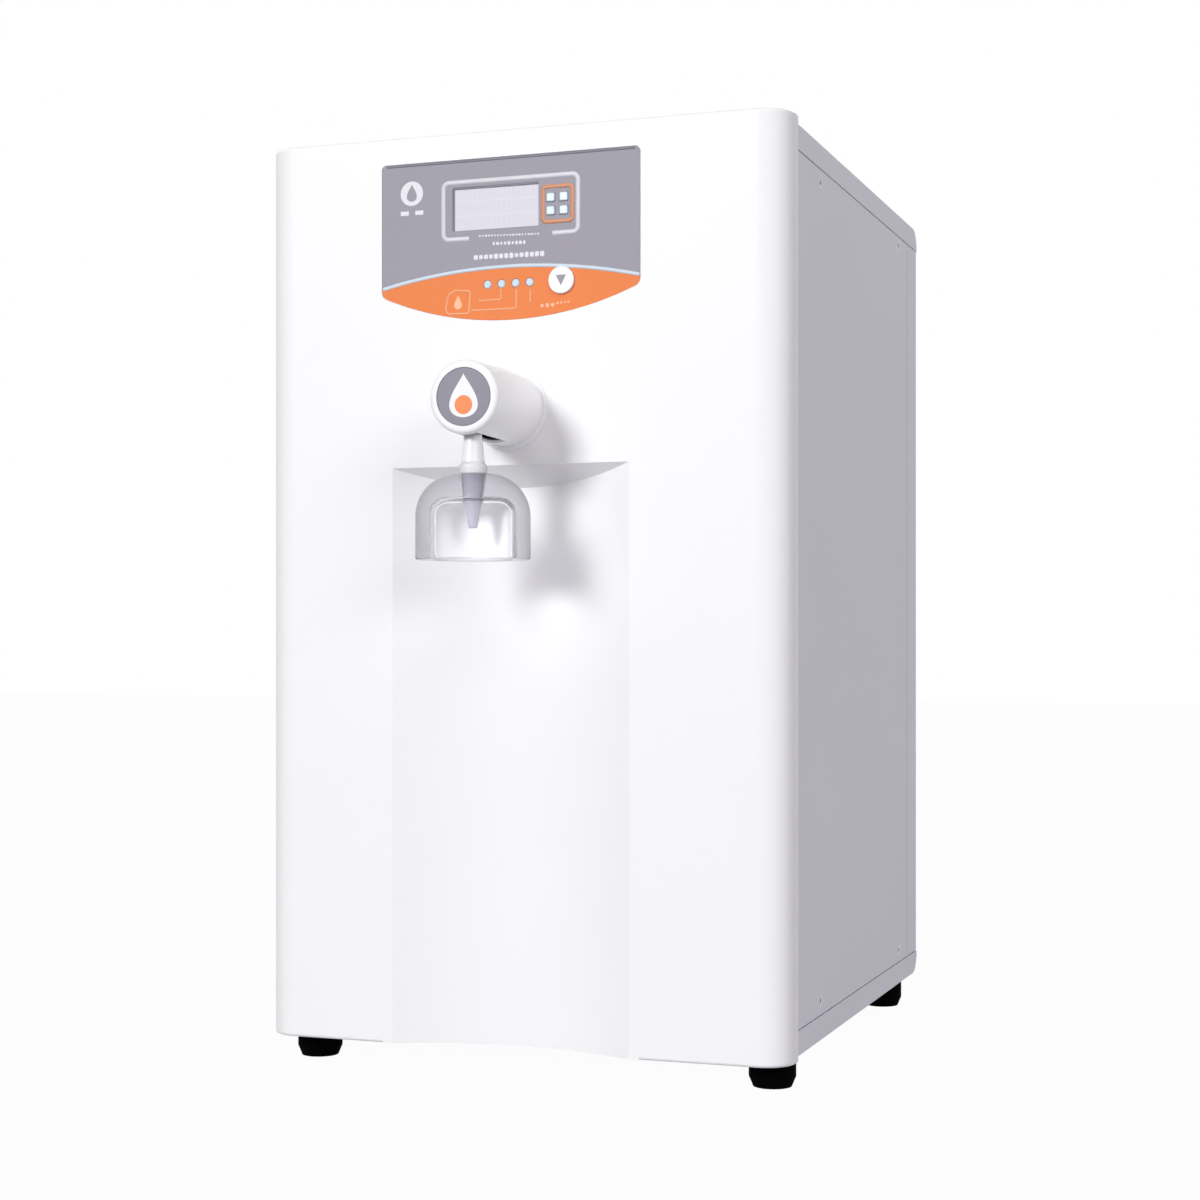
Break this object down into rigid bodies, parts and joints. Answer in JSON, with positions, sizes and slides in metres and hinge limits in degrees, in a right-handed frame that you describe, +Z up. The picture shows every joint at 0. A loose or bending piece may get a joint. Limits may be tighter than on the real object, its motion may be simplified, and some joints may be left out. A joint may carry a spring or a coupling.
{
  "type": "laboratory water purifier",
  "caption": "Bench-top laboratory water purifier: a white moulded front with a dished bottle bay, a sprung lever tap with a clear bell, and a sheet-metal cabinet.",
  "frame": {"origin": "on the bench plane under the middle of the overall box", "axes": "+X the user's right, +Y towards the back, +Z up"},
  "size_m": [0.335, 0.479, 0.567],
  "materials": {
    "front_plastic": "satin white moulding",
    "label_grey": "satin film",
    "label_orange": "satin film",
    "display_glass": "clear over a pale display",
    "dark_plastic": "matte",
    "nozzle_grey": "satin",
    "button_white": "satin",
    "lamp_lens": "clear lens, unlit",
    "circuit_board": "solder mask",
    "tap_plastic": "gloss white moulding",
    "lever_plastic": "satin white moulding",
    "white_plastic": "matte",
    "badge_grey": "satin",
    "steel": "bright",
    "zinc_steel": "zinc plated",
    "polished_steel": "polished",
    "clear_plastic": "clear",
    "cabinet_paint": "satin powder coat",
    "foot_rubber": "matte",
    "filter_plastic": "matte",
    "tube_plastic": "satin"
  },
  "bodies": {
    "cabinet": {"front_fascia": "front_plastic", "display_overlay": "label_grey", "indicator_overlay": "label_orange", "display_window": "display_glass", "display_module": "dark_plastic", "board_switches": "dark_plastic", "indicator_lamps": "lamp_lens", "control_board": "circuit_board", "tap_base": "tap_plastic", "tap_lock_nut": "white_plastic", "lever_pivot_pin": "steel", "tap_head": "tap_plastic", "tap_badge": "badge_grey", "lever_switch": "dark_plastic", "return_spring": "steel", "top_cover": "cabinet_paint", "base_tray": "cabinet_paint", "right_side_panel": "cabinet_paint", "left_side_panel": "cabinet_paint", "side_panel_screws": "steel", "chassis": "zinc_steel", "pan_screws": "steel", "rear_cover": "cabinet_paint", "feed_port": "white_plastic", "tank_port": "white_plastic", "drain_port": "white_plastic", "port_nuts": "white_plastic", "power_inlet": "dark_plastic", "inlet_pins": "steel", "rocker_frame": "dark_plastic", "fuse_holder": "dark_plastic", "feet": "foot_rubber", "foot_screws": "steel", "equipment_plate": "zinc_steel", "cartridge_rack": "zinc_steel", "sediment_cartridge": "filter_plastic", "carbon_cartridge": "filter_plastic", "deioniser_first": "filter_plastic", "deioniser_second": "filter_plastic", "membrane_housing": "white_plastic", "ultraviolet_housing": "polished_steel", "housing_clips": "white_plastic", "booster_pump": "dark_plastic", "power_supply": "zinc_steel", "power_board": "circuit_board", "solenoid_valves": "white_plastic", "tap_hose": "tube_plastic", "water_tubes": "tube_plastic"},
    "lever": {"tap_lever": "lever_plastic", "bell_collar": "clear_plastic", "dispensing_bell": "clear_plastic", "outlet_nozzle": "nozzle_grey"},
    "plunger": {"switch_plunger": "dark_plastic"},
    "button": {"dispense_button": "button_white"},
    "rocker": {"power_rocker": "dark_plastic"},
    "key_upper_left_body": {"key_upper_left": "button_white"},
    "key_upper_right_body": {"key_upper_right": "button_white"},
    "key_lower_left_body": {"key_lower_left": "button_white"},
    "key_lower_right_body": {"key_lower_right": "button_white"}
  },
  "joints": [
    {"name": "lever_swing", "type": "hinge", "parent": "cabinet", "child": "lever", "pos_m": [-0.0045, -0.2065, 0.404], "axis": [1, 0, 0], "range_deg": [0, 10], "stiffness_Nm_per_rad": 1.2, "springref_deg": -5.73, "deforming": ["return_spring"]},
    {"name": "plunger_slide", "type": "slide", "parent": "cabinet", "child": "plunger", "axis": [0, 1, 0], "range_m": [0, 0.0025]},
    {"name": "button_push", "type": "slide", "parent": "cabinet", "child": "button", "axis": [0, 1, 0], "range_m": [0, 0.0012], "stiffness_N_per_m": 1500, "springref_m": -0.0008},
    {"name": "rocker_tilt", "type": "hinge", "parent": "cabinet", "child": "rocker", "pos_m": [-0.088, 0.2195, 0.112], "axis": [1, 0, 0], "range_deg": [0, 20]},
    {"name": "key_upper_left_push", "type": "slide", "parent": "cabinet", "child": "key_upper_left_body", "axis": [0, 1, 0], "range_m": [0, 0.0005], "stiffness_N_per_m": 2000, "springref_m": -0.0006},
    {"name": "key_upper_right_push", "type": "slide", "parent": "cabinet", "child": "key_upper_right_body", "axis": [0, 1, 0], "range_m": [0, 0.0005], "stiffness_N_per_m": 2000, "springref_m": -0.0006},
    {"name": "key_lower_left_push", "type": "slide", "parent": "cabinet", "child": "key_lower_left_body", "axis": [0, 1, 0], "range_m": [0, 0.0005], "stiffness_N_per_m": 2000, "springref_m": -0.0006},
    {"name": "key_lower_right_push", "type": "slide", "parent": "cabinet", "child": "key_lower_right_body", "axis": [0, 1, 0], "range_m": [0, 0.0005], "stiffness_N_per_m": 2000, "springref_m": -0.0006}
  ],
  "couplings": [
    {"joint": "plunger_slide", "follows": "lever_swing", "m_per_rad": 0.0138}
  ]
}
